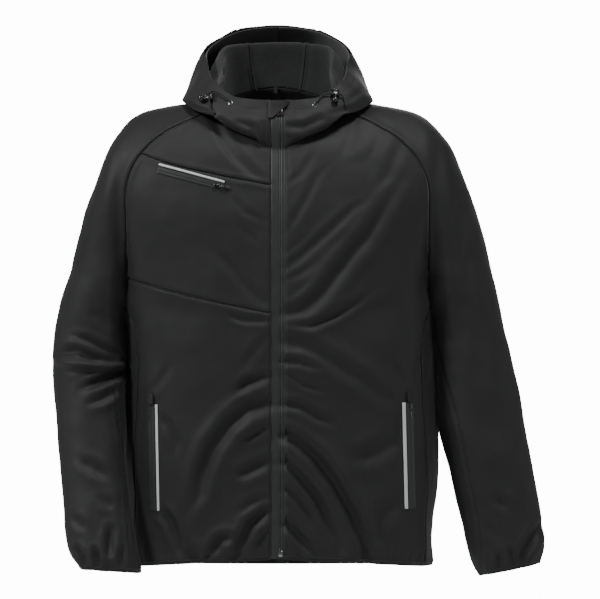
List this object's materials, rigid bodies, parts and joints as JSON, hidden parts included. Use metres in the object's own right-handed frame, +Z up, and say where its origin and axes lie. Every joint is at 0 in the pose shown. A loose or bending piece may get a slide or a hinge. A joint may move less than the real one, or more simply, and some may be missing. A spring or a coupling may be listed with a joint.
{
  "type": "softshell jacket",
  "caption": "Hooded softshell jacket, worn form with no wearer: raglan sleeves, full front zip, chest and hand zip pockets, bound hem and cuffs.",
  "frame": {"origin": "centre of the neck, level with the points where shoulder meets neck", "axes": "+Z up, -Y the jacket's front, +X the wearer's left"},
  "size_m": [0.7558, 0.3308, 0.8561],
  "materials": {
    "shell": "black bonded softshell, matt, smooth knit face",
    "lining": "charcoal brushed fleece",
    "binding": "black elastic binding",
    "zip_tape": "black laminated zip tape, slightly glossy",
    "piping": "silver white reflective tape",
    "cord": "black braided cord",
    "hardware": "black moulded plastic",
    "steel": "dark plated metal"
  },
  "bodies": {
    "jacket": {"front_left": "shell", "front_right_lower": "shell", "front_right_chest": "shell", "front_right_yoke": "shell", "back": "shell", "sleeve_left": "shell", "sleeve_right": "shell", "hood_left": "shell", "hood_centre": "shell", "hood_right": "shell", "brim_facing_left": "lining", "brim_facing_right": "lining", "hem_binding": "binding", "cuff_binding_left": "binding", "cuff_binding_right": "binding", "zip_tape_left": "zip_tape", "zip_tape_right": "zip_tape", "zip_coil": "hardware", "zip_slider": "hardware", "zip_stop": "steel", "zip_garage": "shell", "chest_zip_tape": "zip_tape", "chest_piping": "piping", "chest_slider": "hardware", "hand_left_zip_tape": "zip_tape", "hand_left_piping": "piping", "hand_left_slider": "hardware", "hand_garage_left": "shell", "hand_right_zip_tape": "zip_tape", "hand_right_piping": "piping", "hand_right_slider": "hardware", "hand_garage_right": "shell", "eyelet_left": "steel", "eyelet_right": "steel", "drawcord_left": "cord", "drawcord_end_left": "cord", "drawcord_right": "cord", "drawcord_end_right": "cord", "cord_lock_left": "hardware", "cord_lock_right": "hardware", "neck_tab": "binding"},
    "chest_tab": {"chest_pull": "hardware"},
    "hand_left_tab": {"hand_left_pull": "hardware"},
    "hand_right_tab": {"hand_right_pull": "hardware"},
    "lock_button_left": {"cord_lock_button_left": "hardware"},
    "lock_button_right": {"cord_lock_button_right": "hardware"}
  },
  "joints": [
    {"name": "chest_pull_hinge", "type": "hinge", "parent": "jacket", "child": "chest_tab", "pos_m": [-0.08663, -0.11599, -0.11591], "axis": [-0.2601, -0.2187, -0.9405], "range_deg": [0, 105]},
    {"name": "hand_left_pull_hinge", "type": "hinge", "parent": "jacket", "child": "hand_left_tab", "pos_m": [0.20428, -0.08558, -0.45806], "axis": [-0.7118, -0.7024, 0.0015], "range_deg": [0, 105]},
    {"name": "hand_right_pull_hinge", "type": "hinge", "parent": "jacket", "child": "hand_right_tab", "pos_m": [-0.1946, -0.08627, -0.46141], "axis": [-0.6867, 0.7249, -0.0542], "range_deg": [0, 105]},
    {"name": "lock_left_press", "type": "slide", "parent": "jacket", "child": "lock_button_left", "axis": [0, 0.6028, 0.7979], "range_m": [0, 0.003], "stiffness_N_per_m": 100},
    {"name": "lock_right_press", "type": "slide", "parent": "jacket", "child": "lock_button_right", "axis": [0.9702, -0.2023, 0.1336], "range_m": [0, 0.003], "stiffness_N_per_m": 100}
  ]
}
